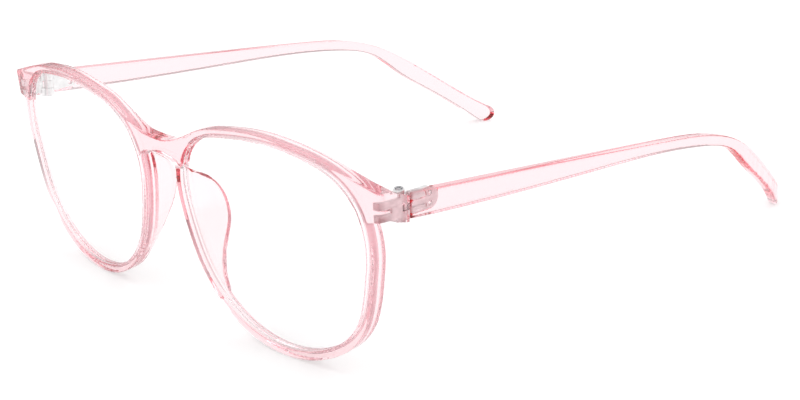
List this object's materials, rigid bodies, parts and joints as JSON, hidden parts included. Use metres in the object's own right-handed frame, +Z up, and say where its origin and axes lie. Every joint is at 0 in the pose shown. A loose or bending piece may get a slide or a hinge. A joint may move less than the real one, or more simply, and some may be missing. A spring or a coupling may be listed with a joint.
{
  "type": "blue light glasses",
  "caption": "Round see-through pink plastic glasses with clear lenses, moulded nose pads and temples that fold in on small metal screw hinges.",
  "frame": {"origin": "centre of the bounding box's base, on the surface that the rims and temple tips stand on", "axes": "+X to the wearer's left, +Y back along the temples, +Z up"},
  "size_m": [0.1324, 0.1571, 0.0499],
  "materials": {
    "clear_pink_plastic": "polished see-through pale pink injection moulded plastic",
    "lens_plastic": "clear polished lens plastic with a thin coating that reflects a little blue",
    "hinge_metal": "satin nickel-plated metal",
    "screw_metal": "plain steel screw"
  },
  "bodies": {
    "front": {"front_frame": "clear_pink_plastic", "left_lens": "lens_plastic", "right_lens": "lens_plastic", "left_front_hinge": "hinge_metal", "right_front_hinge": "hinge_metal", "left_hinge_screw": "screw_metal", "right_hinge_screw": "screw_metal"},
    "left_temple": {"left_temple": "clear_pink_plastic", "left_temple_hinge": "hinge_metal"},
    "right_temple": {"right_temple": "clear_pink_plastic", "right_temple_hinge": "hinge_metal"}
  },
  "joints": [
    {"name": "left_temple_fold", "type": "hinge", "parent": "front", "child": "left_temple", "pos_m": [0.0627, -0.0648, 0.03905], "axis": [0, 0, 1], "range_deg": [0, 78]},
    {"name": "right_temple_fold", "type": "hinge", "parent": "front", "child": "right_temple", "pos_m": [-0.0627, -0.0648, 0.03905], "axis": [0, 0, -1], "range_deg": [0, 88]}
  ]
}
